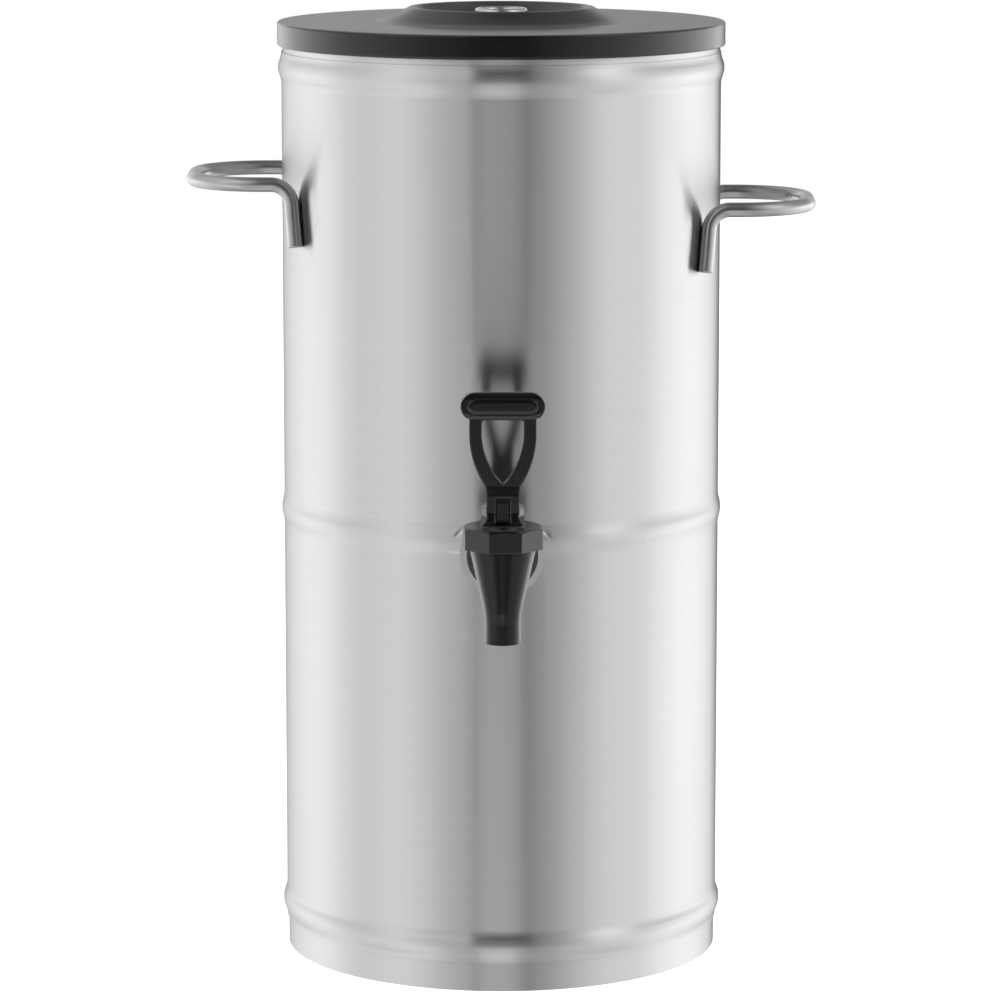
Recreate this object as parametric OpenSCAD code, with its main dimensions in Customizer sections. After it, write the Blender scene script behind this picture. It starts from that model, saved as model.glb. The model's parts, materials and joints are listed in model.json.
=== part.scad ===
// Round dispenser urn: a rolled stainless steel cylinder on a hollow skirt, with a raised tank floor,
// two bent rod handles, a moulded lid with a brew hole and its plug, and a self-closing tap.
// Millimetres. +Z is up, the tap faces -Y, and the origin is the centre of the foot, on the surface.

/* [Body] */
// Outside diameter of the cylinder
body_d = 241; // [200:1:280]
// Height of the steel body, from the surface to the top of the rolled rim
body_h = 512.8; // [440:1:600]
// Thickness of the sheet
sheet = 1; // [0.8:0.1:1.5]
// How much smaller the skirt below the lowest bead is, on the radius
skirt_step = 0.9; // [0.5:0.1:1.5]
// Width of the flange turned in under the skirt
foot_flange = 9; // [5:0.5:15]
// How much smaller the neck under the lid is, on the radius
neck_step = 0.5; // [0.2:0.1:1]
// Radius of the rolled rim
rim_roll = 1.9; // [1.5:0.1:2.5]

/* [Beads] */
// Height of the middle of the lowest bead
low_bead_z = 24.5; // [22:0.5:40]
// How far the lowest bead stands proud
low_bead_proud = 2; // [1:0.1:3]
// Height of the middle of the bead at the tap
mid_bead_z = 247; // [230:0.5:265]
// How far the middle bead stands proud
mid_bead_proud = 1.3; // [0.8:0.1:2]
// Distance from the rim down to the middle of the top bead
top_bead_drop = 22.4; // [20:0.5:40]
// How far the top bead stands proud
top_bead_proud = 1.85; // [1:0.1:2.5]
// Half the width of a bead
bead_half = 8.8; // [6:0.1:10]

/* [Tank floor] */
// Height of the tank floor at its lowest point, under the tap
floor_z = 218.5; // [200:0.5:222]
// Slope of the tank floor towards the tap, in degrees
floor_slope = 2; // [1:0.5:3]
// Depth of the flange that is welded to the body
floor_flange = 16; // [10:1:25]
// Gap that the weld fills between the floor and the body
weld_gap = 0.1; // [0.05:0.05:0.3]

/* [Handles] */
// Diameter of the handle rod
rod_d = 7.94; // [6:0.01:10]
// Distance between the two bars of a handle, centre to centre
bar_spacing = 110; // [90:1:130]
// Reach of a handle from the body to the outside of its loop
handle_reach = 53; // [45:1:60]
// Bend radius of the loop's corners, at the middle of the rod
loop_bend = 38; // [30:1:40]
// Bend radius where a bar turns down into its leg, at the middle of the rod
leg_bend = 11.5; // [9:0.5:14]
// Height of a leg, from its cut end to the middle of the bar
leg_drop = 33.5; // [26:0.5:50]
// Height of the left handle's bars
left_bar_z = 430.3; // [380:0.1:450]
// Height of the right handle's bars, lower so that urns stand side by side
right_bar_z = 416.8; // [380:0.1:450]

/* [Lid] */
// How far the lid stands out past the body, on the radius
lid_overhang = 2.2; // [1.5:0.1:4]
// Height of the lid's side
lid_side_h = 12.9; // [10:0.1:18]
// Wall of the lid
lid_wall = 2.3; // [1.8:0.1:2.3]
// Height of the finger ring above the lid
ring_h = 7.8; // [5:0.1:10]
// Radius of the ring's crest
ring_crest_r = 49.6; // [44:0.1:56]
// Radius at the ring's outer foot
ring_foot_r = 69.6; // [66:0.1:80]
// Radius at the ring's inner foot
ring_inner_r = 38; // [32:0.5:42]
// Slope of the ring's sides at their feet, in degrees
ring_slope = 14; // [5:1:15]
// Depth of the ring under the lid that centres it in the mouth
spigot_h = 12; // [8:0.5:16]

/* [Brew plug] */
// Radius of the hole in the middle of the lid
brew_hole_r = 12; // [10:0.1:14]
// Radius of the plug's rolled edge, at its outside
plug_r = 14.4; // [13:0.1:18]
// Height of the collar that the plug sits on, above the lid
plug_collar_h = 3.4; // [2:0.1:5]
// Length of the plug below its edge
plug_len = 11; // [8:0.5:14]

/* [Tap body] */
// Distance from the body to the tap's upright axis
tap_reach = 38; // [36:0.5:46]
// Height of the tap's outlet above the surface
outlet_z = 199.7; // [190:0.1:205]
// Radius of the straight spout
spout_r = 9.5; // [8:0.1:10]
// Radius of the spout's bore
spout_bore_r = 6.6; // [5:0.1:7]
// Length of the straight spout
spout_len = 15.3; // [12:0.1:18]
// Radius at the top of the cone
cone_r = 17.6; // [17.2:0.1:19]
// Height of the tap body from its outlet to the bonnet
tap_h = 50.8; // [49:0.1:56]
// Height of the valve seat above the outlet
seat_h = 31.5; // [29:0.1:33]
// Radius of the throat in the seat
throat_r = 5.2; // [4:0.1:6]

/* [Tap shank] */
// Height of the shank's axis above the outlet
shank_h = 40; // [38:0.1:42]
// Radius of the shank
shank_r = 7.9; // [7:0.1:10]
// Radius of the shank's bore
shank_bore_r = 4.8; // [3.5:0.1:5]
// Pitch of the shank's thread
thread_pitch = 1.8; // [1.5:0.1:2.5]
// Radius of the round washer outside the body
washer_r = 19; // [18:0.1:21]
// Thickness of the washer outside the body
washer_t = 2.2; // [1.5:0.1:3]
// Radius of the round boss pressed out of the body, whose flat top the washer seats on
boss_r = 22.6; // [21:0.1:25]
// How far that flat top stands out of the body
seat_proud = 0.8; // [0.5:0.1:1.3]
// Across the flats of the lock nut
nut_af = 27; // [24:0.5:32]
// Thickness of the lock nut
nut_t = 8; // [6:0.5:12]

/* [Bonnet] */
// Across the flats of the eight-sided bonnet
bonnet_af = 40.8; // [40:0.1:44]
// Height of the bonnet
bonnet_h = 11.5; // [11:0.1:14]
// How far the bonnet happens to be turned, in degrees
bonnet_turn = 3.7; // [-20:0.1:20]
// Radius of the round pad that the lever bears on
pad_r = 11.7; // [11:0.1:14]
// Height of that pad
pad_h = 0.8; // [0.4:0.1:1.5]

/* [Valve] */
// Radius of the stem
stem_r = 4.5; // [4:0.1:4.7]
// Lift of the stem for each radian that the lever is pulled
cam_lift = 5; // [3:0.1:5.5]
// How far the lever is pulled, in degrees
pull_angle = 35; // [20:1:40]
// Coils of the closing spring
spring_turns = 6; // [4:1:8]
// Radius of the spring's wire
wire_r = 0.6; // [0.4:0.05:0.8]

/* [Lever] */
// Height of the lever's pin above the pad
pin_h = 6.2; // [5.8:0.1:7]
// Radius of the pin
pin_r = 1.6; // [1.2:0.1:2]
// Width of the grip bar
grip_w = 44; // [38:0.1:55]
// Height of the grip bar
grip_h = 14.2; // [13:0.1:17]
// Depth of the grip bar
grip_t = 9.8; // [9:0.1:14]
// Height from the pin to the underside of the grip bar
grip_rise = 49.3; // [46:0.1:58]
// Width across the lever's two arms, under the grip bar
arms_w = 35; // [32:0.1:38]
// Width of the opening between the arms
loop_w = 22; // [18:0.1:24]
// Thickness of the arms from front to back
arm_t = 8; // [6:0.1:9]
// Width of the fork at the foot of the lever
fork_w = 17; // [16:0.1:19]
// Thickness of the insert on the grip bar
insert_t = 2; // [1.5:0.1:3]

/* [Hidden] */
$fn = 96;

steel_colour = [0.74, 0.74, 0.73];
rod_colour = [0.55, 0.55, 0.54];
lid_colour = [0.16, 0.16, 0.16];
tap_colour = [0.08, 0.08, 0.08];
silicone_colour = [0.86, 0.85, 0.8];
seal_colour = [0.12, 0.12, 0.12];

body_r = body_d / 2;
rod_r = rod_d / 2;
running = 0.08;      // gap on the radius where one piece turns or slides in another
clear = 0.3;         // gap where pieces of different bodies lie against each other
slack = 0.2;         // gap on the radius where a piece is pushed over another by hand
eps = 0.01;          // overlap of shapes that are joined
big = 600;           // longer than the urn, for cutting tools

// Heights that follow from the body
top_bead_z = body_h - top_bead_drop;
neck_z = top_bead_z + bead_half;
skirt_top_z = low_bead_z - bead_half;
mouth_r = body_r - neck_step - 2 * rim_roll;

// The lid sits on the rim
lid_under_z = body_h + clear;
lid_top_z = lid_under_z + lid_wall;
lid_r = body_r + lid_overhang;
lid_inner_r = body_r - neck_step + clear + 0.1;
collar_top_z = lid_top_z + plug_collar_h;

// The tap's axis and its levels
tap_y = -(body_r + tap_reach);
bonnet_z = outlet_z + tap_h;
bonnet_top_z = bonnet_z + bonnet_h;
pad_z = bonnet_top_z + pad_h;
pin_z = pad_z + pin_h;
cone_z = outlet_z + spout_len;
seat_z = outlet_z + seat_h;
shank_z = outlet_z + shank_h;
bonnet_plate = 2.6;                            // top plate of the bonnet
cup_rim_t = 1.2;                               // rim of the seat cup, clamped under the bonnet
neck_top_z = bonnet_top_z - bonnet_plate - cup_rim_t - clear;
tap_wall = 2.4;
arm_r = 10.5;                                  // arm between the tap's cone and its flange
tap_neck_r = cone_r - 0.7;                     // threaded neck inside the bonnet
chamber_r = cone_r - 1.2 - tap_wall;           // valve chamber

// Outside the body, along the shank: flat seat, washer, flange
seat_y = -(body_r + seat_proud);
flange_y = seat_y - washer_t;
flange_t = 3;
flange_r = washer_r - 1.4;
shank_hole_r = shank_r + slack;
inner_seat_y = seat_y + sheet;
inner_washer_t = 2;
steel_washer_t = 1.2;
inner_washer_r = nut_af / 2 + 0.5;
nut_y = inner_seat_y + inner_washer_t + steel_washer_t;
shank_end_y = nut_y + nut_t + 2.5;

// Valve
cup_base_t = 4;
cup_r = 8;
stem_foot_r = 6;
stem_foot_t = 2;
collar_z = seat_z + clear + cup_base_t + stem_foot_t;
blade_w = 1.6 * stem_r;                        // stem across its side flats
blade_t = 1.3 * stem_r;                        // stem across its front and back flats
spring_r = stem_r + 2 * wire_r + 0.7;
spring_top_z = bonnet_top_z - bonnet_plate;

// ---------------------------------------------------------------- steel body

// A rolled bead in section: two hollow arcs run into one full arc of the same radius.
// off moves the whole line inwards, so that the same module gives both faces of the sheet.
module bead_2d(z, proud, off = 0) {
    turn = 2 * atan(proud / bead_half);
    arc_r = bead_half / (2 * sin(turn));
    crown = [body_r + proud - arc_r, z];
    join_x = crown[0] + (arc_r - off) * cos(turn);
    join_z = (arc_r - off) * sin(turn);
    difference() {
        polygon([[body_r - off - 3, z - bead_half], [body_r - off, z - bead_half],
                 [join_x, z - join_z], [join_x, z + join_z],
                 [body_r - off, z + bead_half], [body_r - off - 3, z + bead_half]]);
        for (side = [-1, 1])
            translate([body_r + arc_r, z + side * bead_half]) circle(arc_r + off);
    }
    intersection() {
        translate(crown) circle(arc_r - off);
        translate([join_x - eps, z - join_z]) square([proud + eps, 2 * join_z]);
    }
}

// Everything inside the line of the body: off = 0 gives the outside face, off = sheet the inside
module body_line_2d(off = 0) {
    low = off > 0 ? sheet : 0;
    skirt_r = body_r - skirt_step - off;
    neck_r = body_r - neck_step - off;
    translate([0, low]) square([skirt_r, skirt_top_z + low]);
    translate([0, skirt_top_z + low]) square([body_r - off, neck_z - skirt_top_z - low - off / 2]);
    translate([0, neck_z - off]) square([neck_r, body_h - neck_z - rim_roll + off]);
    bead_2d(low_bead_z, low_bead_proud, off);
    bead_2d(mid_bead_z, mid_bead_proud, off);
    bead_2d(top_bead_z, top_bead_proud, off);
}

module body_shell() {
    color(steel_colour) difference() {
        union() {
            rotate_extrude() difference() {
                body_line_2d();
                body_line_2d(sheet);
                square([body_r - skirt_step - foot_flange, 2 * sheet]);
            }
            rolled_rim();
            tap_seat();
        }
        // The bead is flattened where the washer seats
        tap_line(boss_r, seat_y - big / 2, seat_y);
        tap_line(boss_r - sheet, inner_seat_y, 0.6 * -body_r);
        tap_line(shank_hole_r, seat_y - big / 2, 0.6 * -body_r);
    }
}

module rolled_rim() {
    rotate_extrude()
        translate([body_r - neck_step - rim_roll, body_h - rim_roll]) circle(rim_roll);
}

// A round bar along the shank's axis, from one distance to another
module tap_line(r, y_from, y_to) {
    translate([0, y_from, shank_z]) rotate([-90, 0, 0]) cylinder(r = r, h = y_to - y_from);
}

// The flat seat, pressed out of the cylinder as a round boss with a wall of its own
module tap_seat() {
    difference() {
        tap_line(boss_r, seat_y, 0.9 * -body_r);
        cylinder(r = body_r - sheet, h = big);
    }
}

// Half space below a plane that slopes down towards the tap, at a height over the floor
module below_slope(rise) {
    translate([0, -body_r, floor_z + rise]) rotate([floor_slope, 0, 0])
        translate([-big / 2, -big / 4, -big]) cube([big, 1.5 * big, big]);
}

// A disc that slopes to the tap, with a flange turned down all round against the body
module tank_floor() {
    pan_r = body_r - sheet - weld_gap;
    color(steel_colour) difference() {
        cylinder(r = pan_r, h = mid_bead_z);
        difference() {
            cylinder(r = big, h = big);
            below_slope(0);
        }
        below_slope(-floor_flange);
        intersection() {
            cylinder(r = pan_r - sheet, h = big);
            below_slope(-sheet);
        }
    }
}

// ---------------------------------------------------------------- handles

// A rod bent through an angle in the XY plane, from +X round towards +Y
module bent_rod(bend_r, angle) {
    rotate_extrude(angle = angle) translate([bend_r, 0]) circle(rod_r);
}

// One handle, reaching out along +X with its bars at z = 0: a loop with two round corners,
// whose bars turn down into legs that are welded flat against the body
module rod_handle() {
    bar_y = bar_spacing / 2;
    end_x = body_r + handle_reach - rod_r;
    on_body_r = body_r + weld_gap + rod_r;
    leg_x = sqrt(pow(on_body_r, 2) - pow(bar_y, 2));
    corner = [end_x - loop_bend, bar_y - loop_bend];
    translate([end_x, -corner[1], 0]) rotate([-90, 0, 0]) cylinder(r = rod_r, h = 2 * corner[1]);
    for (side = [0, 1]) mirror([0, side, 0]) {
        translate([corner[0], corner[1], 0]) bent_rod(loop_bend, 90);
        translate([leg_x + leg_bend, bar_y, 0]) rotate([0, 90, 0])
            cylinder(r = rod_r, h = corner[0] - leg_x - leg_bend);
        translate([leg_x + leg_bend, bar_y, -leg_bend]) rotate([90, 0, 0])
            rotate([0, 0, 90]) bent_rod(leg_bend, 90);
        translate([leg_x, bar_y, -leg_drop]) cylinder(r = rod_r, h = leg_drop - leg_bend);
    }
}

module handle_left() {
    color(rod_colour) translate([0, 0, left_bar_z]) mirror([1, 0, 0]) rod_handle();
}

module handle_right() {
    color(rod_colour) translate([0, 0, right_bar_z]) rod_handle();
}

// ---------------------------------------------------------------- lid

// Section of a ridge: a round crest with a hollow arc on each side, which meets the surface that the
// ridge stands on at the angle ring_slope.
module ridge_2d(crest_r, round_r, crest_z, outer_foot, inner_foot, base_z) {
    foot_z = base_z - 0.1;
    middle = [crest_r, crest_z - round_r];
    rise = middle[1] - foot_z;
    // Radius of an arc that leaves the foot at ring_slope and touches the crest
    function arc_r(run) = (pow(run, 2) + pow(rise, 2) - pow(round_r, 2))
        / (2 * (round_r + rise * cos(ring_slope) - run * sin(ring_slope)));
    // Middle of that arc, for a foot at a radius on either side of the crest
    function arc_mid(foot, side) = [foot + side * arc_r(abs(foot - crest_r)) * sin(ring_slope),
                                    foot_z + arc_r(abs(foot - crest_r)) * cos(ring_slope)];
    // Point where the arc touches the crest
    function touch(foot, side) = middle + (arc_mid(foot, side) - middle) * round_r
        / (round_r + arc_r(abs(foot - crest_r)));
    difference() {
        polygon([[inner_foot, foot_z - 1], [inner_foot, foot_z], touch(inner_foot, -1),
                 touch(outer_foot, 1), [outer_foot, foot_z], [outer_foot, foot_z - 1]]);
        translate(arc_mid(outer_foot, 1)) circle(arc_r(outer_foot - crest_r), $fn = 360);
        translate(arc_mid(inner_foot, -1)) circle(arc_r(crest_r - inner_foot), $fn = 360);
    }
    // The crest is a little fuller, so that it crosses the arcs instead of only touching them
    translate(middle) circle(round_r + 0.05);
}

// A square corner with a round of radius r cut off its upper right
module rounded_corner_2d(r) {
    translate([-r, -r]) difference() {
        square([r + eps, r + eps]);
        circle(r);
    }
}

module finger_ring() {
    rotate_extrude() ridge_2d(ring_crest_r, 2.4, lid_top_z + ring_h, ring_foot_r, ring_inner_r, lid_top_z);
}

// The ring is moulded hollow, open below
module ring_hollow() {
    inset = 3.5;
    rotate_extrude() ridge_2d(ring_crest_r, 1, lid_top_z + ring_h - lid_wall, ring_foot_r - inset,
                              ring_inner_r + inset, lid_under_z);
}

// A disc with a rounded edge, a side that hangs round the neck, a collar round the brew hole
// and a ring below that centres the lid in the mouth
module lid() {
    edge = 1.1;
    side_z = lid_top_z - lid_side_h;
    spigot_r = mouth_r - 0.8;
    color(lid_colour) difference() {
        union() {
            rotate_extrude() difference() {
                square_from(brew_hole_r, lid_r, side_z, lid_top_z);
                square_from(brew_hole_r - 1, lid_inner_r, side_z - 1, lid_under_z);
                translate([lid_r, lid_top_z]) rounded_corner_2d(edge);
                translate([lid_r, side_z]) mirror([0, 1]) rounded_corner_2d(edge);
            }
            rotate_extrude() {
                square_from(brew_hole_r, brew_hole_r + lid_wall, lid_under_z + eps, collar_top_z);
                square_from(spigot_r - lid_wall, spigot_r, lid_under_z - spigot_h, lid_top_z - eps);
            }
            finger_ring();
        }
        ring_hollow();
    }
}

plug_skirt_r = brew_hole_r - 1.6;

// Pressed steel plug: a rolled edge that rests on the collar, a dished top and a skirt in the hole
module brew_plug() {
    edge_r = 1.7;
    skin = 1;
    rest_z = collar_top_z + clear;
    color(steel_colour) rotate_extrude() {
        translate([plug_r - edge_r, rest_z + edge_r]) circle(edge_r);
        translate([0, rest_z]) square([plug_r - edge_r, skin]);
        translate([plug_skirt_r - skin, rest_z - plug_len]) square([skin, plug_len + skin / 2]);
    }
}

// Soft sleeve with two lips round the plug's skirt, which grips the hole
module plug_gasket() {
    inner = plug_skirt_r + 0.05;
    lip = 0.55;
    top = collar_top_z - 0.6;
    height = plug_collar_h + 1.6;
    color(silicone_colour) rotate_extrude() {
        translate([inner, top - height]) square([0.7, height]);
        for (z = [top - height + lip, top - lip]) translate([inner + 0.7, z]) circle(lip);
    }
}

// ---------------------------------------------------------------- tap

module tap_body() {
    bore_h = seat_z - 6;
    color(tap_colour) difference() {
        union() {
            translate([0, tap_y, 0]) rotate_extrude() {
                square_from(0, spout_r, outlet_z, cone_z);
                cone_2d();
                square_from(0, tap_neck_r, bonnet_z - eps, neck_top_z);
            }
            tap_line(shank_r, flange_y - flange_t, shank_end_y);
            tap_arm();
            translate([0, flange_y, shank_z]) rotate([90, 0, 0])
                cylinder(r1 = flange_r, r2 = flange_r - flange_t, h = flange_t);
        }
        translate([0, tap_y, 0]) rotate_extrude() {
            translate([0, outlet_z - 1]) square([spout_bore_r, bore_h - outlet_z + 1]);
            polygon([[0, bore_h - eps], [spout_bore_r, bore_h - eps],
                     [throat_r, bore_h + 3], [0, bore_h + 3]]);
            square_from(0, throat_r, bore_h + 3 - eps, seat_z + eps);
            polygon([[0, seat_z], [cup_r + 1.6, seat_z], [chamber_r, shank_z + 2],
                     [chamber_r, big], [0, big]]);
        }
        tap_line(shank_bore_r, tap_y, shank_end_y + 1);
        thread_grooves();
    }
}

// Section of the cone above the spout, with a wide hollow round where the two meet
module cone_2d() {
    hollow_r = 40;
    taper = atan((cone_r - spout_r) / (bonnet_z - cone_z));
    reach = hollow_r * tan(taper / 2);
    top = [spout_r + reach * sin(taper), cone_z + reach * cos(taper)];
    polygon([[0, cone_z - eps], [spout_r, cone_z - eps], [cone_r, bonnet_z], [0, bonnet_z]]);
    difference() {
        polygon([[spout_r - 1, cone_z - reach], [spout_r, cone_z - reach], top,
                 [spout_r - 1, top[1]]]);
        translate([spout_r + hollow_r, cone_z - reach]) circle(hollow_r - 0.02, $fn = 360);
    }
}

// Arm from the cone to the flange, flat on top so that the bonnet turns clear of it
module tap_arm() {
    difference() {
        tap_line(arm_r, tap_y, flange_y - eps);
        translate([-big / 2, tap_y, bonnet_z - clear]) cube([big, big, big]);
    }
}

// A rectangle given by its two radii and two heights
module square_from(r_from, r_to, z_from, z_to) {
    translate([r_from, z_from]) square([r_to - r_from, z_to - z_from]);
}

// Grooves between the threads, along the part of the shank that is inside the tank
module thread_grooves() {
    depth = 0.7;
    first = inner_seat_y + inner_washer_t;
    count = floor((shank_end_y - first) / thread_pitch);
    for (i = [0 : count - 1])
        translate([0, first + (i + 0.5) * thread_pitch, shank_z]) rotate([-90, 0, 0])
            rotate_extrude() polygon([[shank_r - depth, 0], [shank_r + 1, -0.45 * thread_pitch],
                                      [shank_r + 1, 0.45 * thread_pitch]]);
}

// Washers on the shank, from one distance to another
module shank_ring(r, y_from, y_to) {
    difference() {
        tap_line(r, y_from, y_to);
        tap_line(shank_hole_r, y_from - 1, y_to + 1);
    }
}

module outer_washer() {
    color(seal_colour) shank_ring(washer_r, flange_y, seat_y);
}

module inner_washer() {
    color(silicone_colour) shank_ring(inner_washer_r, inner_seat_y, inner_seat_y + inner_washer_t);
}

module steel_washer() {
    color(steel_colour) shank_ring(inner_washer_r, nut_y - steel_washer_t, nut_y);
}

module lock_nut() {
    color(tap_colour) difference() {
        translate([0, nut_y, shank_z]) rotate([-90, 0, 0]) intersection() {
            rotate([0, 0, 30]) cylinder(d = nut_af / cos(30), h = nut_t, $fn = 6);
            rotate_extrude() polygon([[0, 0], [nut_af / 2 + 2.5, 0], [nut_af / 2 + 2.5, nut_t - 1.8],
                                      [nut_af / 2, nut_t], [0, nut_t]]);
        }
        tap_line(shank_hole_r, nut_y - 1, nut_y + nut_t + 1);
    }
}

// Eight-sided cap screwed down over the tap's neck. Its bore guides the stem.
module tap_bonnet() {
    corner_r = bonnet_af / 2 / cos(22.5);
    chamfer = 1.2;
    color(tap_colour) translate([0, tap_y, 0]) difference() {
        union() {
            intersection() {
                translate([0, 0, bonnet_z]) rotate([0, 0, 22.5 + bonnet_turn])
                    cylinder(r = corner_r, h = bonnet_h, $fn = 8);
                rotate_extrude() polygon([[0, bonnet_z], [corner_r, bonnet_z],
                    [corner_r, bonnet_top_z - chamfer], [bonnet_af / 2 - 0.6, bonnet_top_z],
                    [0, bonnet_top_z]]);
            }
            translate([0, 0, bonnet_top_z - eps]) cylinder(r = pad_r, h = pad_h + eps);
        }
        rotate_extrude() {
            square_from(0, stem_r + running, bonnet_z, pad_z + 1);
            square_from(0, tap_neck_r + slack, bonnet_z - 1, bonnet_top_z - bonnet_plate);
        }
    }
}

// Rod with flats on four sides, a foot that holds the seat cup under the spring, and a cross hole
// for the pin. The round corners between the flats slide in the bonnet.
module valve_stem() {
    stem_top_z = pin_z + 5.7;
    color(tap_colour) translate([0, tap_y, 0]) difference() {
        union() {
            intersection() {
                rotate_extrude() square_from(0, stem_r, collar_z - eps, stem_top_z);
                translate([-blade_w / 2, -blade_t / 2, 0]) cube([blade_w, blade_t, big]);
            }
            rotate_extrude() square_from(0, stem_foot_r, collar_z - stem_foot_t, collar_z);
        }
        translate([-big / 2, 0, pin_z]) rotate([0, 90, 0]) cylinder(r = pin_r + running, h = big);
    }
}

// Soft bell that closes the seat. Its rim is clamped under the bonnet and keeps the spring dry.
module seat_cup() {
    wall = 1;
    bottom_z = seat_z + clear;
    top_z = bonnet_top_z - bonnet_plate - clear / 2;
    neck_r = chamber_r - 0.6;
    throat_lip = throat_r - 0.6;
    color(silicone_colour) translate([0, tap_y, 0]) rotate_extrude() {
        square_from(0, cup_r, bottom_z, collar_z - stem_foot_t - clear / 3);
        polygon([[throat_lip - 1.5, bottom_z - 1.2], [throat_lip, bottom_z + eps],
                 [0, bottom_z + eps], [0, bottom_z - 1.2]]);
        polygon([[cup_r - wall, collar_z - stem_foot_t - 0.5], [cup_r, collar_z - stem_foot_t - 1],
                 [neck_r, shank_z + 4], [neck_r, top_z - cup_rim_t + eps],
                 [neck_r - wall, top_z - cup_rim_t + eps], [neck_r - wall, shank_z + 4.3]]);
        square_from(neck_r - wall, tap_neck_r - 0.4, top_z - cup_rim_t, top_z);
    }
}

// Compression spring: a round wire swept along a helix whose end coils are closed
module closing_spring() {
    steps = 18;
    sides = 8;
    bottom = collar_z + wire_r + 0.05;
    top = spring_top_z - wire_r - 0.05;
    count = spring_turns * steps;
    // Share of the height reached: no climb on the first and last turn
    function climb(t) = min(1, max(0, (t * spring_turns - 0.8) / (spring_turns - 1.6)));
    function height(t) = bottom + climb(t) * (top - bottom) + (t < 0.5 ? 1 : -1) * 2 * wire_r * end_coil(t);
    function end_coil(t) = t < 0.5 ? min(1, t * spring_turns / 0.8) : min(1, (1 - t) * spring_turns / 0.8);
    points = [for (i = [0 : count], j = [0 : sides - 1])
        let (t = i / count, turn = 360 * spring_turns * t, a = 360 * j / sides,
             r = spring_r + wire_r * cos(a))
        [r * cos(turn), r * sin(turn), height(t) + wire_r * sin(a)]];
    walls = [for (i = [0 : count - 1], j = [0 : sides - 1])
        let (k = (j + 1) % sides)
        [i * sides + j, i * sides + k, (i + 1) * sides + k, (i + 1) * sides + j]];
    ends = [[for (j = [sides - 1 : -1 : 0]) j], [for (j = [0 : sides - 1]) count * sides + j]];
    color(steel_colour) translate([0, tap_y, 0]) polyhedron(points, concat(walls, ends));
}

// ---------------------------------------------------------------- lever

// A flat shape drawn over X and Z, given a thickness along Y
module upright(t) {
    rotate([90, 0, 0]) linear_extrude(t, center = true) children();
}

// A flat shape drawn over Y and Z, given a width along X
module sideways(w) {
    rotate([90, 0, 90]) linear_extrude(w, center = true) children();
}

// Front outline of the two arms, with the pin at the origin: each side stands upright under the
// grip and then follows a large arc that runs in to the fork
module arms_2d() {
    outer_arc = 50;
    half = arms_w / 2;
    intersection() {
        arch_2d(half, outer_arc);
        translate([-half, foot_top - 2]) square([2 * half, grip_rise - foot_top + 6]);
    }
}

// An arch that points down: two arcs from its straight sides to the point where they cross
module arch_2d(half, arc) {
    translate([-half, arch_z]) square([2 * half, grip_rise - arch_z + 5]);
    intersection() {
        translate([half - arc, arch_z]) circle(arc, $fn = 200);
        translate([arc - half, arch_z]) circle(arc, $fn = 200);
        translate([-half, arch_z - arc]) square([2 * half, arc + eps]);
    }
}

// The opening between the arms, with rounded corners under the grip
module loop_2d() {
    inner_arc = 39;
    corner = 1.8;
    half = loop_w / 2;
    difference() {
        intersection() {
            arch_2d(half, inner_arc);
            translate([-half, 0]) square([2 * half, grip_rise]);
        }
        for (side = [0, 1]) mirror([side, 0]) translate([half, grip_rise]) rounded_corner_2d(corner);
    }
}

// Foot of the lever from the side, with the pin at the origin. The heel is the involute of a
// circle of radius cam_lift, so that the stem rises in step with the angle.
module foot_2d() {
    bottom = -pin_h + 0.12;
    back = 7.5;
    nose_top = 0.5;
    shoulder = foot_top - 3.4;
    steps = 7;
    heel = [for (i = [0 : steps])
        let (a = pull_angle * i / steps, arm = -bottom + cam_lift * a * PI / 180)
        [-arm * sin(a) - cam_lift * cos(a), -arm * cos(a) + cam_lift * sin(a)]];
    nose = heel[steps];
    polygon(concat([[back, bottom]], heel, [[nose[0], nose[1] + 1.2], [-foot_front, nose_top],
                   [-foot_front, shoulder], [-arm_t / 2, foot_top], [arm_t / 2, foot_top],
                   [back, shoulder]]));
}

// Foot from the front: the fork, with cheeks that widen it at the pin
module foot_front_2d() {
    fork = fork_w / 2;
    cheek = fork + cheek_w;
    cheek_top = 1.9;
    cheek_blend = 4.2;
    neck = fork + 0.7;
    neck_from = foot_top - 2.8;
    bottom = -pin_h - 1;
    polygon([[-cheek, bottom], [-cheek, cheek_top], [-fork, cheek_blend], [-fork, neck_from],
             [-neck, foot_top + 1], [neck, foot_top + 1], [fork, neck_from], [fork, cheek_blend],
             [cheek, cheek_top], [cheek, bottom]]);
}

foot_top = 13.8;     // where the arms leave the foot, above the pin
foot_front = 7.6;    // depth of the foot in front of the pin
arch_z = 42;         // where the arms begin to curve in, above the pin
cheek_w = 2.9;

// Takes the front corner off a cheek: a face that slopes back, and below the pin one that
// leans out until it meets the corner at the foot
module cheek_cut() {
    lean = 28;
    intersection() {
        cheek_plane(0);
        cheek_plane(lean);
    }
}

// Everything outside a plane through the front edge of the fork
module cheek_plane(lean) {
    slope = 63;
    translate([fork_w / 2, -foot_front, -1]) rotate([0, 0, slope]) rotate([-lean, 0, 0])
        translate([-big / 2, -big, -big / 2]) cube([big, big, big]);
}

// The forked foot that straddles the stem
module lever_foot() {
    slot_half = blade_w / 2 + clear;
    slot_top = 8.6;
    difference() {
        intersection() {
            sideways(big) foot_2d();
            upright(big) foot_front_2d();
        }
        for (side = [0, 1]) mirror([side, 0, 0]) cheek_cut();
        translate([-slot_half, -big / 2, -big]) cube([2 * slot_half, big, big + slot_top]);
        translate([-big / 2, 0, 0]) rotate([0, 90, 0]) cylinder(r = pin_r + 0.02, h = big);
    }
}

module grip_outline_2d(w, h) {
    for (side = [-1, 1]) translate([side * (w - h) / 2, 0]) circle(h / 2);
    square([w - h, h], center = true);
}

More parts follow.
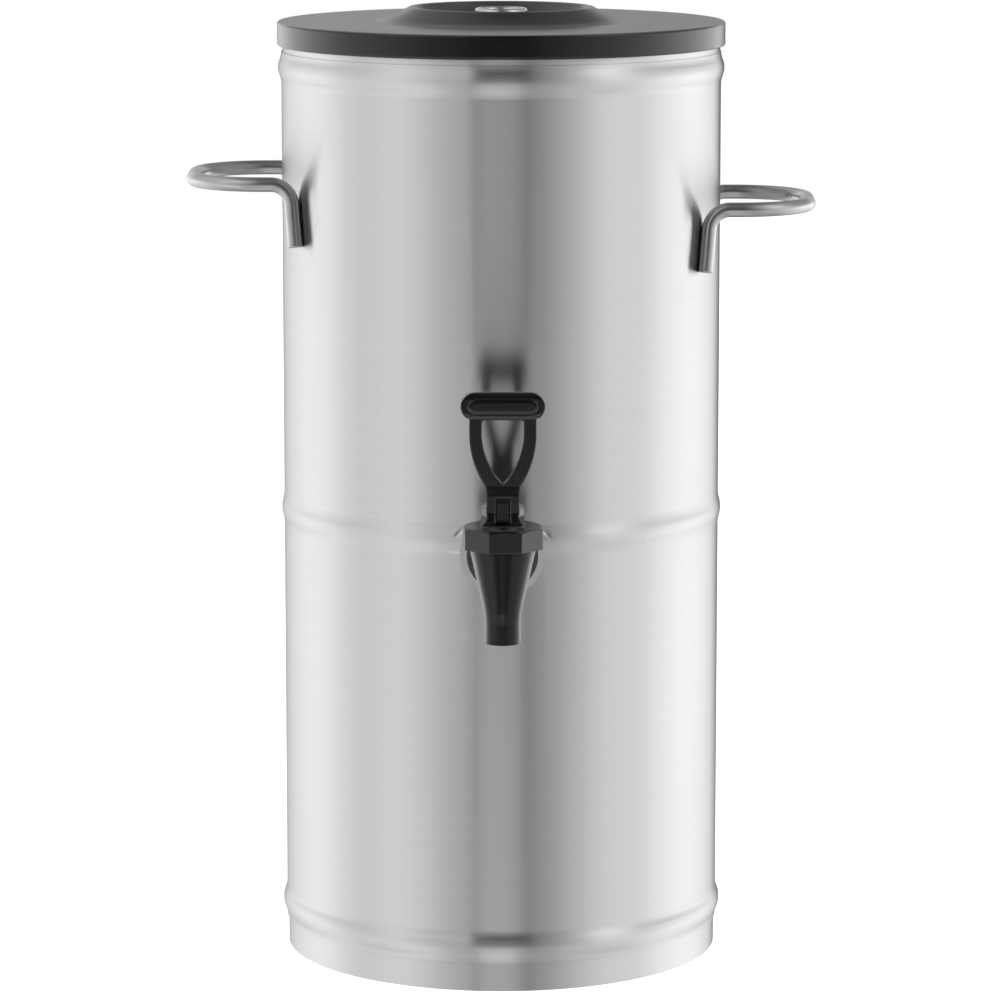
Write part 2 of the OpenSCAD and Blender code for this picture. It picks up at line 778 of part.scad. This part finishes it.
module rounded_square_2d(w, h, r) {
    square([w - 2 * r, h], center = true);
    square([w, h - 2 * r], center = true);
    for (x = [-1, 1], y = [-1, 1]) translate([x * (w / 2 - r), y * (h / 2 - r)]) circle(r);
}

grip_mid = grip_rise + grip_h / 2;
insert_w = grip_w - 6.6;
insert_h = grip_h - 6.2;
insert_pocket = 1;

// Moulded lever: the foot, two arms and a grip bar with a pocket for the insert
module lever() {
    grip_round = 3.2;
    color(tap_colour) translate([0, tap_y, pin_z]) difference() {
        union() {
            lever_foot();
            upright(arm_t) arms_2d();
            translate([0, 0, grip_mid]) intersection() {
                upright(big) grip_outline_2d(grip_w, grip_h);
                sideways(grip_w) rounded_square_2d(grip_t, grip_h, grip_round);
            }
        }
        upright(big) loop_2d();
        translate([0, -grip_t / 2, grip_mid])
            upright(2 * insert_pocket) grip_outline_2d(insert_w + 0.1, insert_h + 0.1);
    }
}

// Snap-in insert on the front of the grip bar
module grip_insert() {
    color(tap_colour) translate([0, tap_y - grip_t / 2 + insert_pocket - insert_t / 2, pin_z + grip_mid])
        upright(insert_t) grip_outline_2d(insert_w, insert_h);
}

module lever_pin() {
    pin_len = fork_w + 2 * cheek_w - 0.8;
    color(steel_colour) translate([-pin_len / 2, tap_y, pin_z]) rotate([0, 90, 0])
        cylinder(r = pin_r, h = pin_len);
}

body_shell();
tank_floor();
handle_left();
handle_right();
lid();
brew_plug();
plug_gasket();
tap_body();
tap_bonnet();
valve_stem();
seat_cup();
closing_spring();
lever();
grip_insert();
lever_pin();
outer_washer();
inner_washer();
steel_washer();
lock_nut();
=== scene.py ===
import json
import math
import bpy
import numpy as np
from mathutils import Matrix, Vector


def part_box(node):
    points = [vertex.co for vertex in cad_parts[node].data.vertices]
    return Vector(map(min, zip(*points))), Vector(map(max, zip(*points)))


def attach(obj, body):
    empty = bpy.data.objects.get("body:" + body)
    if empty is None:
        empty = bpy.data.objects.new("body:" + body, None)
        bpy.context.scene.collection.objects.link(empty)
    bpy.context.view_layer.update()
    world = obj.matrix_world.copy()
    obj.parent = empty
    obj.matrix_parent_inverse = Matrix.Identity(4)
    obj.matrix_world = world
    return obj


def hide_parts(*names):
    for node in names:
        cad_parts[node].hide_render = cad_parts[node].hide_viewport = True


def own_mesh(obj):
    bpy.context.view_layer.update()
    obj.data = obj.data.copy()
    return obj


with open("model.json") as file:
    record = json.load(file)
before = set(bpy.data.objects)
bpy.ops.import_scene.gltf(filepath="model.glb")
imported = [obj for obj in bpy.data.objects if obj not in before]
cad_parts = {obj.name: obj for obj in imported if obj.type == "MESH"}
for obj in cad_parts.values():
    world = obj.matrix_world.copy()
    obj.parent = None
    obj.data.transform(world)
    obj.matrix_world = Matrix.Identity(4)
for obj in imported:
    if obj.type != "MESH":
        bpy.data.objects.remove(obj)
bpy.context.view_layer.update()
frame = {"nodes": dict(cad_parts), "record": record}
nodes = frame["nodes"]

# ---------------------------------------------------------------- camera and studio
# A long lens stands a little above the lid and a touch to the left of the tap. The studio is one sky
# whose brightness changes round the urn, as tall soft panels do: dim in front, bright at the sides.

camera_distance = 2.589
camera_height = 0.6793
camera_pitch = math.radians(9.43)
camera_azimuth = math.radians(-0.3)
camera_yaw = camera_azimuth + math.radians(0.015)
focal_length = 169.69
lens = bpy.data.cameras.new("camera")
lens.lens = focal_length
lens.sensor_width = 36.0
camera = bpy.data.objects.new("camera", lens)
camera.location = (camera_distance * math.sin(camera_azimuth), -camera_distance * math.cos(camera_azimuth),
                   camera_height)
camera.rotation_euler = (math.pi / 2 - camera_pitch, 0, camera_yaw)
bpy.context.scene.collection.objects.link(camera)
bpy.context.scene.camera = camera
bpy.context.scene.view_settings.view_transform = "Standard"


class Wire:
    """An output socket. Sums, products and comparisons with it are Math nodes of the same finish."""

    def __init__(self, finish, socket):
        self.finish = finish
        self.socket = socket

    def maths(self, operation, *values):
        return self.finish.node("ShaderNodeMath", {"operation": operation}, dict(enumerate(values)))

    def __add__(self, other):
        return self.maths("ADD", self, other)

    def __sub__(self, other):
        return self.maths("SUBTRACT", self, other)

    def __rsub__(self, other):
        return self.maths("SUBTRACT", other, self)

    def __mul__(self, other):
        return self.maths("MULTIPLY", self, other)

    def __truediv__(self, other):
        return self.maths("DIVIDE", self, other)

    def __pow__(self, other):
        return self.maths("POWER", self, other)

    def __gt__(self, other):
        return self.maths("GREATER_THAN", self, other)

    def __lt__(self, other):
        return self.maths("LESS_THAN", self, other)

    def __abs__(self):
        return self.maths("ABSOLUTE", self)

    __radd__ = __add__
    __rmul__ = __mul__


class Finish:
    """The node tree of one material, or of the world."""

    def __init__(self, tree):
        self.tree = tree
        tree.nodes.clear()

    def node(self, kind, settings=None, sockets=None, out=0):
        """Adds a node, sets it up, fills its sockets by name or number, and gives back one output."""
        made = self.tree.nodes.new(kind)
        for name, value in (settings or {}).items():
            if name == "stops":
                stops = made.color_ramp.elements
                while len(stops) < len(value):
                    stops.new(0.5)
                for stop, (place, shade) in zip(stops, value):
                    stop.position = place
                    stop.color = (shade, shade, shade, 1)
            else:
                setattr(made, name, value)
        for name, value in (sockets or {}).items():
            if isinstance(value, Wire):
                self.tree.links.new(value.socket, made.inputs[name])
            else:
                made.inputs[name].default_value = value
        return Wire(self, made.outputs[out]) if made.outputs else None

    def split(self, vector):
        """The three numbers in a vector."""
        parts = self.node("ShaderNodeSeparateXYZ", None, {"Vector": vector})
        return [Wire(self, socket) for socket in parts.socket.node.outputs]

    def join(self, x, y, z):
        return self.node("ShaderNodeCombineXYZ", None, {0: x, 1: y, 2: z})

    def step(self, value, low, high):
        """0 below low, 1 above high, smooth between them."""
        return self.node("ShaderNodeMapRange", {"interpolation_type": "SMOOTHSTEP"},
                         {"Value": value, "From Min": low, "From Max": high})

    def ramp(self, value, low, high, full, stops):
        """A curve through (value, level) stops, between low and high, as a share of the level full."""
        return self.node("ShaderNodeValToRGB",
                         {"stops": [((v - low) / (high - low), level / full) for v, level in stops]},
                         {"Fac": (value - low) / (high - low)})


# Degrees round the urn from the camera's side, and the brightness there of the strip lights that
# stand level with the urn, and of the large panels above them
strip_light = [(-180, 0.1), (-170, 0.5), (-160, 1.2), (-148, 1.55), (-124, 1.75), (-107, 1.6), (-85, 0.95),
               (-57, 0.5), (-34, 0.1), (-10, 0.0), (18, 0.04), (45, 0.42), (63, 0.75), (72, 0.95), (81, 1.2),
               (91, 1.6), (103, 1.9), (115, 2.05), (130, 2.0), (148, 1.65), (158, 0.8), (164, 0.2),
               (180, 0.1)]
panel_light = [(-180, 0.3), (-160, 0.6), (-130, 0.8), (-108, 0.85), (-90, 0.85), (-76, 0.9), (-60, 1.3),
               (-45, 1.0), (-36, 0.85), (-22, 0.8), (-17, 0.9), (16, 0.1), (20, 0.2), (32, 0.45), (45, 0.8),
               (52, 1.4), (60, 1.7), (69, 1.55), (76, 1.1), (86, 0.75), (110, 0.45), (150, 0.4), (180, 0.2)]
# Degrees above or below the horizon, and the share of each light that comes from there
strip_height = [(-90, 0.0), (-54, 0.0), (-44, 0.36), (-22, 0.36), (-13, 0.7), (-7, 1.0), (2, 1.0),
                (10, 0.1), (25, 0.0), (90, 0.0)]
panel_height = [(-90, 0.0), (3, 0.0), (13, 1.0), (55, 1.0), (68, 0.1), (90, 0.0)]
back_height = [(-90, 0.0), (0, 0.0), (5, 0.3), (9, 0.95), (15, 0.95), (19, 0.1), (23, 0.0), (90, 0.0)]
# The room itself: a bright floor, dim walls and a soft ceiling
room_height = [(-90, 0.95), (-45, 0.95), (-30, 1.0), (-24, 1.1), (-15, 1.0), (-7, 0.28), (-1, 0.06),
               (30, 0.07), (62, 0.25), (90, 0.2)]
# The share of the room's light that there is in front, where the camera stands in the way: more than
# the whole from the floor, and about half from the walls
gap_height = [(-90, 1.5), (-32, 1.8), (-24, 1.8), (-15, 1.3), (-8, 0.7), (0, 0.5), (90, 0.6)]
# The full level of each curve, which its stops are shares of, and the strengths of the lights
strip_full, panel_full, room_full = 5, 2, 2
strip_power = 5.7
back_power = 0.75
back_dimming = 0.35
floor_shade = 0.6
world = bpy.data.worlds.new("studio")
bpy.context.scene.world = world
world.use_nodes = True
studio = Finish(world.node_tree)
east, north, up = studio.split(studio.node("ShaderNodeTexCoord", out=0))
degrees = 180 / math.pi
azimuth = studio.node("ShaderNodeMath", {"operation": "ARCTAN2"}, {0: east, 1: 0 - north}) * degrees
height = studio.node("ShaderNodeMath", {"operation": "ARCSINE"}, {0: up}) * degrees
strips = (studio.ramp(azimuth, -180, 180, strip_full, strip_light) * strip_power
          * studio.ramp(height, -90, 90, 1, strip_height))
panels = (studio.ramp(azimuth, -180, 180, panel_full, panel_light) * panel_full
          * studio.ramp(height, -90, 90, 1, panel_height))
back = studio.step(abs(azimuth), 130, 165) * back_power * studio.ramp(height, -90, 90, 1, back_height)
behind = studio.step(abs(azimuth), 50, 90)
far_behind = studio.step(abs(azimuth), 148, 170)
in_gap = studio.step(azimuth, -17.2, -15.2) * (1 - studio.step(azimuth, 14.4, 16.6))
gap_middle = -0.8
gap_edge = studio.step(abs(azimuth - gap_middle), 8, 15)
taken = 1 - studio.ramp(height, -90, 90, room_full, gap_height) * room_full * (1 - gap_edge * 0.4)
# The floor close in front of the urn is in shade
near_floor = ((1 - studio.step(height, -31, -25)) * studio.step(height, -62, -48)
              * (1 - studio.step(abs(azimuth), 24, 46)))
# The room is a little brighter on the left, and dimmer behind the urn
left_to_right = 0.004
around = (1 - azimuth * left_to_right * (1 - behind) - behind * back_dimming
          - far_behind * back_dimming)
room = studio.ramp(height, -90, 90, room_full, room_height) * room_full * around
sky = (room * (1 - in_gap * taken) * (1 - near_floor * floor_shade) + back
       + (panels + strips) * (1 - in_gap))
seen = studio.node("ShaderNodeLightPath")
strength = studio.node("ShaderNodeMix", {"data_type": "FLOAT"}, {0: seen, 2: sky, 3: 1.0})
backdrop = studio.node("ShaderNodeBackground", None, {"Color": (1, 1, 1, 1), "Strength": strength})
studio.node("ShaderNodeOutputWorld", None, {"Surface": backdrop})


def material(name):
    """A new material and the finish that its node tree makes."""
    made = bpy.data.materials.new(name)
    made.use_nodes = True
    return made, Finish(made.node_tree)


# The floor is matt paper. A camera ray sees it lit up to white but for the urn's shadow, and a mirror
# ray passes through it to the studio's own floor.
floor_half = 4.0
paper_white = 0.8
paper_glow = 0.88
floor_mesh = bpy.data.meshes.new("floor")
floor_mesh.from_pydata([(-floor_half, -floor_half, 0), (floor_half, -floor_half, 0),
                        (floor_half, floor_half, 0), (-floor_half, floor_half, 0)], [], [(0, 1, 2, 3)])
floor = bpy.data.objects.new("floor", floor_mesh)
bpy.context.scene.collection.objects.link(floor)
floor_paint, paper = material("floor_paper")
to_camera = paper.node("ShaderNodeLightPath")
to_gloss = Wire(paper, to_camera.socket.node.outputs["Is Glossy Ray"])
lit = paper.node("ShaderNodeBsdfDiffuse", None, {"Color": (paper_white, paper_white, paper_white, 1)})
glow = paper.node("ShaderNodeEmission", None, {"Color": (1, 1, 1, 1), "Strength": to_camera * paper_glow})
both = paper.node("ShaderNodeAddShader", None, {0: lit, 1: glow})
clear = paper.node("ShaderNodeBsdfTransparent")
paper.node("ShaderNodeOutputMaterial", None,
           {"Surface": paper.node("ShaderNodeMixShader", None, {0: to_gloss, 1: both, 2: clear})})
floor_mesh.materials.append(floor_paint)

# ---------------------------------------------------------------- steel body and tank floor
# Stainless sheet, rolled, beaded and welded. Its fine lines run round the body from the rolling and
# polishing, so they catch light as faint level streaks. A ground seam closes the body at the back,
# and the press that flattens the tap's seat leaves two shallow dents in the bead.


def noise(finish, vector, scale, detail=2.0):
    """Soft random mottling, 0 to 1, with scale blotches to the metre."""
    return finish.node("ShaderNodeTexNoise", None, {"Vector": vector, "Scale": scale, "Detail": detail})


def tint(finish, factor, first, second):
    """A grey or tinted colour between two others, given as three numbers each."""
    return finish.node("ShaderNodeMix", {"data_type": "RGBA"}, {0: factor, 6: (*first, 1), 7: (*second, 1)},
                       out=2)


def blob(x, z, wide, tall):
    """1 at the origin of x and z, falling off as exp(-(x / wide)^2 - (z / tall)^2)."""
    return x.maths("EXPONENT", 0 - ((x / wide) ** 2 + (z / tall) ** 2))


def surface(finish, sockets, relief=None, depth=0.0, worn=0.0):
    """Ends a finish in one Principled shader. relief times depth is a bump in metres, and worn is the
    radius in metres to which the edges are rounded."""
    normal = {"Normal": finish.node("ShaderNodeBevel", {"samples": 8}, {"Radius": worn})} if worn else {}
    if relief is not None:
        normal = {"Normal": finish.node("ShaderNodeBump", None,
                                        {"Distance": depth, "Height": relief, **normal})}
    shader = finish.node("ShaderNodeBsdfPrincipled", None, {**sockets, **normal})
    finish.node("ShaderNodeOutputMaterial", None, {"Surface": shader})


def dress(made, *names):
    """Gives CAD nodes their material."""
    for name in names:
        mesh = nodes[name].data
        mesh.materials.clear()
        mesh.materials.append(made)


def rolled_steel(name, formed):
    """Brushed sheet. formed adds the body's own marks: the seam and the dents beside the tap."""
    steel, grain = material(name)
    place = grain.node("ShaderNodeTexCoord", out=3)
    x, y, z = grain.split(place)
    streaks = noise(grain, grain.join(x * 2, y * 2, z * 420), 1.0, 3.0)
    fine = noise(grain, grain.join(x * 12, y * 12, z * 2600), 1.0)
    blotch = noise(grain, place, 9.0)
    tone = streaks * 0.05 + fine * 0.05 + blotch * 0.03 - 0.065
    relief = streaks * 0.4 + fine * 0.6
    rough = 0.27 + fine * 0.05 + blotch * 0.03
    if formed:
        at_back = y > 0.1
        dent_x, dent_z = 0.0228, 0.2515
        seam = (1 - grain.step(abs(x), 0.0003, 0.0011)) * at_back
        heat = (1 - grain.step(abs(x), 0.002, 0.006)) * at_back
        beside = abs(x) - dent_x
        above = z - dent_z
        dents = blob(beside - above, beside + above, 0.0045, 0.0014) * (y < 0)
        tone = tone - heat * 0.02
        rough = rough + heat * 0.06
        relief = relief + seam * 12 - dents * 30
    surface(grain, {
        "Base Color": tint(grain, 0.5 + tone * 4, (0.50, 0.50, 0.49), (0.64, 0.64, 0.63)),
        "Metallic": 1.0,
        "Specular Tint": (0.6, 0.6, 0.6, 1),
        "Anisotropic": 1.0,
        "Anisotropic Rotation": 0.25,
        "Roughness": rough},
        relief, 0.00001)
    return steel


dress(rolled_steel("body_steel", True), "body_shell")
dress(rolled_steel("sheet_steel", False), "tank_floor", "steel_washer")

# ---------------------------------------------------------------- handles
# Solid stainless rod, bent cold into a loop whose two legs spread a little downwards and are welded to
# the body. It was ground between rollers, so it shines across its length, with a faint mottle.


def closed_mesh(name, rings):
    """A closed mesh over rings of points, given as one array of ring, place in the ring and X, Y, Z.
    Neighbouring rings are joined by four-sided faces, and the first and last are closed flat."""
    count, sides = rings.shape[:2]
    number = np.arange(count * sides).reshape(count, sides)
    beside = np.roll(number, -1, axis=1)
    quads = np.stack([number[:-1], beside[:-1], beside[1:], number[1:]], axis=-1).reshape(-1, 4)
    mesh = bpy.data.meshes.new(name)
    mesh.from_pydata(rings.reshape(-1, 3), [],
                     quads.tolist() + [number[0, ::-1].tolist(), number[-1].tolist()])
    mesh.polygons.foreach_set("use_smooth", [True] * len(mesh.polygons))
    mesh.set_sharp_from_angle(angle=math.radians(35))
    made = bpy.data.objects.new(name, mesh)
    bpy.context.scene.collection.objects.link(made)
    return made


def round_bar(name, middle, first, thick, sides):
    """A bar of round section: round each middle point a circle of radius thick, which starts in the
    direction first and turns towards the one square to it and to the line of the middles."""
    along = np.gradient(middle, axis=0)
    along /= np.linalg.norm(along, axis=1)[:, None]
    second = np.cross(along, first)
    turn = np.linspace(0, 2 * math.pi, sides, endpoint=False)[None, :, None]
    thick = np.broadcast_to(thick, (len(middle), 1))
    return closed_mesh(name, middle[:, None] + (thick * first)[:, None] * np.cos(turn)
                       + (thick * second)[:, None] * np.sin(turn))


def stands_for(made, node, body, finish):
    """The piece replaces a CAD node, rides on its body and takes a finish."""
    made.data.materials.append(finish)
    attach(made, body)
    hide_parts(node)


def bent_rod(name, corners, bends, radius, end_round=0.0006, end_steps=5, sides=32, steps=20):
    """A round rod along a path with rounded corners. On the arc at a corner the centre line is
    start + r sin(a) d + r (1 - cos(a)) n, where d is the way in and n is square to it, towards the way
    out. The section is a circle across the path, turned with it, and at both ends its radius shrinks
    along a quarter circle before the flat cut."""
    way = np.diff(corners, axis=0)
    way /= np.linalg.norm(way, axis=1)[:, None]
    across = np.cross(way[0], (1.0, 0.0, 0.0))
    across /= np.linalg.norm(across)
    quarter = np.linspace(0, math.pi / 2, end_steps)[:, None]
    cut = end_round * (1 - np.sin(quarter))
    middles = [corners[0] + way[0] * end_round * (1 - np.cos(quarter))]
    firsts = [np.repeat(across[None], end_steps, axis=0)]
    for here, before, after, bend in zip(corners[1:-1], way[:-1], way[1:], bends):
        angle = np.linspace(0, math.acos(before @ after), steps)[:, None]
        inward = after - (after @ before) * before
        inward /= np.linalg.norm(inward)
        start = here - bend * math.tan(angle[-1, 0] / 2) * before
        middles.append(start + bend * (np.sin(angle) * before + (1 - np.cos(angle)) * inward))
        turned = np.cos(angle) * inward - np.sin(angle) * before
        upright = np.cross(before, inward)
        firsts.append((across @ inward) * turned + (across @ upright) * upright)
        across = firsts[-1][-1]
    middles.append(corners[-1] - way[-1] * end_round * (1 - np.cos(quarter[::-1])))
    firsts.append(np.repeat(across[None], end_steps, axis=0))
    middle = np.concatenate(middles)
    thick = np.full((len(middle), 1), radius)
    thick[:end_steps] -= cut
    thick[-end_steps:] -= cut[::-1]
    return round_bar(name, middle, np.concatenate(firsts), thick, sides)


body_radius = 0.1205
weld_gap = 0.0001
rod_radius = 0.00397
rod_on_body = body_radius + weld_gap + rod_radius
# Half the distance between the bars and between the feet of the legs, how far down a leg reaches, how
# far out the loop does, and the radii of the bends
bar_half = 0.0497
leg_half = 0.0556
leg_drop = 0.0335
loop_end = 0.1685
loop_bend = 0.039
leg_bend = 0.0115
rod, drawn = material("drawn_rod")
place = drawn.node("ShaderNodeTexCoord", out=3)
mottle = noise(drawn, place, 160.0, 3.0)
surface(drawn, {
    "Base Color": tint(drawn, mottle, (0.38, 0.38, 0.37), (0.46, 0.46, 0.45)),
    "Metallic": 1.0,
    "Anisotropic": 0.35,
    "Anisotropic Rotation": 0.25,
    "Roughness": 0.32 + mottle * 0.04},
    mottle, 0.000004)
right_turned = math.radians(-1.4)
for node, side, turned in (("handle_left", -1, 0.0), ("handle_right", 1, right_turned)):
    low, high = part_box(node)
    bar_z = high[2] - rod_radius
    half_path = np.array([(loop_end, bar_half, bar_z),
                          (math.sqrt(rod_on_body ** 2 - bar_half ** 2), bar_half, bar_z),
                          (math.sqrt(rod_on_body ** 2 - leg_half ** 2), leg_half, bar_z - leg_drop)])
    path = np.concatenate([half_path[::-1] * (1, -1, 1), half_path]) * (side, side, 1)
    cosine, sine = math.cos(turned), math.sin(turned)
    path = path @ np.array([(cosine, sine, 0), (-sine, cosine, 0), (0, 0, 1)])
    made = bent_rod(node + "_rod", path, [leg_bend, loop_bend, loop_bend, leg_bend], rod_radius)
    stands_for(made, node, "urn", rod)

# ---------------------------------------------------------------- lid
# Compression-moulded black plastic with a fine even texture. Its flat top, the crest of the finger
# ring and the hollow inside the ring are painted a little paler: a painted highlight where they catch the
# light.

lid_plastic, skin = material("lid_plastic")
place = skin.node("ShaderNodeTexCoord", out=3)
flat_z = 0.5154
crest_z = 0.5232
crest_radius = 0.0496
pebble = noise(skin, place, 900.0)
haze = noise(skin, place, 30.0, 3.0)
x, y, z = skin.split(place)
on_top = skin.step(z, flat_z - 0.0008, flat_z - 0.0002)
on_flat = on_top * (1 - skin.step(z, flat_z + 0.0003, flat_z + 0.0023))
on_crest = skin.step(z, crest_z - 0.001, crest_z - 0.0002)
in_hollow = 1 - skin.step(x * x + y * y, 0.047 ** 2, crest_radius ** 2)
# Painted highlight: the flat top, the ring's crest and the hollow inside the ring get a paler base colour
painted_highlight = skin.step(on_flat + on_crest + in_hollow * on_top * 0.7, 0, 1) * (0.8 + haze * 0.4)
surface(skin, {
    "Base Color": tint(skin, painted_highlight, (0.005, 0.005, 0.005), (0.07, 0.07, 0.07)),
    "Roughness": 0.16 + haze * 0.06 + on_top * 0.1,
    "Specular IOR Level": 0.5},
    pebble + haze * 0.4, 0.00008, worn=0.0012)
dress(lid_plastic, "lid")

# ---------------------------------------------------------------- brew plug
# Bright pressed steel with a soft sleeve that grips the brew hole.

bright, mirror = material("bright_steel")
place = mirror.node("ShaderNodeTexCoord", out=3)
smear = noise(mirror, place, 60.0, 3.0)
surface(mirror, {
    "Base Color": tint(mirror, smear, (0.48, 0.48, 0.48), (0.56, 0.56, 0.56)),
    "Metallic": 1.0,
    "Roughness": 0.2 + smear * 0.08})
dress(bright, "brew_plug", "lever_pin")

# ---------------------------------------------------------------- tap
# Glossy black moulded plastic. The lever's arms and the pad on its grip are well rounded, the
# bonnet's corners only a little.


def moulded(name, worn, sheen, bloom_and_painted_rim=0.0, shine=0.5):
    """Glossy black plastic whose edges are rounded to the radius worn. The fourth argument is how pale the
    base colour is painted at a glancing angle, a painted highlight along the outline, and shine is how
    strongly it mirrors."""
    plastic, gloss = material(name)
    place = gloss.node("ShaderNodeTexCoord", out=3)
    swirl = noise(gloss, place, 90.0, 3.0)
    colour = tint(gloss, swirl, (0.004, 0.004, 0.004), (0.008, 0.008, 0.008))
    # Painted highlight: the base colour turns pale towards the outline, where the surface is seen at a
    # glance
    if bloom_and_painted_rim:
        glance = gloss.node("ShaderNodeLayerWeight", None, {"Blend": 0.5}, out=1)
        painted_rim_highlight = gloss.step(glance, 0.45, 0.85)
        colour = gloss.node("ShaderNodeMix", {"data_type": "RGBA"},
                            {0: painted_rim_highlight, 6: colour, 7: (bloom_and_painted_rim, bloom_and_painted_rim, bloom_and_painted_rim, 1)}, out=2)
    surface(gloss, {
        "Base Color": colour,
        "Roughness": 0.1 + swirl * 0.06,
        "Specular IOR Level": shine,
        "Sheen Weight": sheen,
        "Sheen Roughness": 0.3},
        swirl, 0.00002, worn)
    return plastic


# The spout's rims get a painted highlight: its base colour turns pale at a glancing angle
dress(moulded("spout_plastic", 0.0005, 0.35, bloom_and_painted_rim=0.5, shine=0.25), "tap_body")
dress(moulded("tap_plastic", 0.0007, 0.15), "tap_bonnet", "valve_stem", "lock_nut")
dress(moulded("lever_plastic", 0.0013, 0.35), "lever")
dress(moulded("pad_plastic", 0.003, 0.35), "grip_insert")

# ---------------------------------------------------------------- seals
# Soft silicone inside the tap and the lid, and one black rubber washer outside the body.


def soft_seal(name, first, second, rough):
    """Soft moulded rubber or silicone, with a bloom between two colours."""
    seal, cure = material(name)
    bloom_and_painted_rim = noise(cure, cure.node("ShaderNodeTexCoord", out=3), 250.0)
    surface(cure, {"Base Color": tint(cure, bloom_and_painted_rim, first, second), "Roughness": rough + bloom_and_painted_rim * 0.1})
    return seal


silicone = soft_seal("silicone", (0.72, 0.71, 0.67), (0.8, 0.79, 0.75), 0.45)
dress(silicone, "plug_gasket", "inner_washer")
dress(soft_seal("black_rubber", (0.065, 0.065, 0.065), (0.1, 0.1, 0.1), 0.35), "outer_washer")

# ---------------------------------------------------------------- closing spring and seat cup
# Wound steel wire, and a moulded silicone bell whose rim is clamped under the bonnet. Both stand on the
# stem's foot and ride on the stem.

joints = {joint["name"]: joint for joint in frame["record"]["behaviour"]["joints"]}
stem_travel = joints["stem_lift"]["range_m"][1]


def pressed(made, low, high):
    """The piece gets its own copy of its mesh. How much shorter the stem's travel would make it is worked
    out but not used.
    """
    1 - stem_travel / (high[2] - low[2])
    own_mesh(made)


# The spring is a helix. Each end turn lies nearly flat: it rises by little more than the wire's
# thickness, and the turns between share the rest of the height evenly.
low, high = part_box("closing_spring")
wire_radius = 0.0006
turns = 6
end_rise = 0.0013
steps_a_turn = 24
coil = np.linspace(0, turns, turns * steps_a_turn + 1)
bottom, top = low[2] + wire_radius, high[2] - wire_radius
climb = np.interp(coil, [0, 1, turns - 1, turns], [bottom, bottom + end_rise, top - end_rise, top])
outwards = np.stack([np.cos(2 * math.pi * coil), np.sin(2 * math.pi * coil), 0 * coil], axis=1)
axis = np.array([(low[0] + high[0]) / 2, (low[1] + high[1]) / 2, 0])
coil_radius = (high[0] - low[0]) / 2 - wire_radius
middle = axis + outwards * coil_radius + np.stack([0 * climb, 0 * climb, climb], axis=1)
made = round_bar("closing_spring_wire", middle, outwards, wire_radius, 12)
stands_for(made, "closing_spring", "stem", bright)
pressed(made, low, high)

# The cup is a profile turned round the spring's axis, given as radius and height above its lowest
# point: from the plug in the outlet's throat up the outside to the clamped rim, and down the inside
# to the stem's foot. A point at radius r and angle a is axis + (r cos(a), r sin(a)).
low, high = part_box("seat_cup")
tall = high[2] - low[2]
rim = 0.0012
bell = np.array([(0.0031, 0), (0.0046, rim), (0.008, rim), (0.008, 0.0041), (0.0134, 0.0134),
                 (0.0134, tall - rim), (0.0165, tall - rim), (0.0165, tall), (0.0124, tall),
                 (0.0124, 0.0137), (0.007, 0.0051)])
turn = np.linspace(0, 2 * math.pi, 64, endpoint=False)
radius, above = bell[:, :1], bell[:, 1:]
rings = np.stack([radius * np.cos(turn) + axis[0], radius * np.sin(turn) + axis[1],
                  above + low[2] + 0 * turn], axis=-1)
made = closed_mesh("seat_cup_bell", rings)
stands_for(made, "seat_cup", "stem", silicone)
pressed(made, low, high)
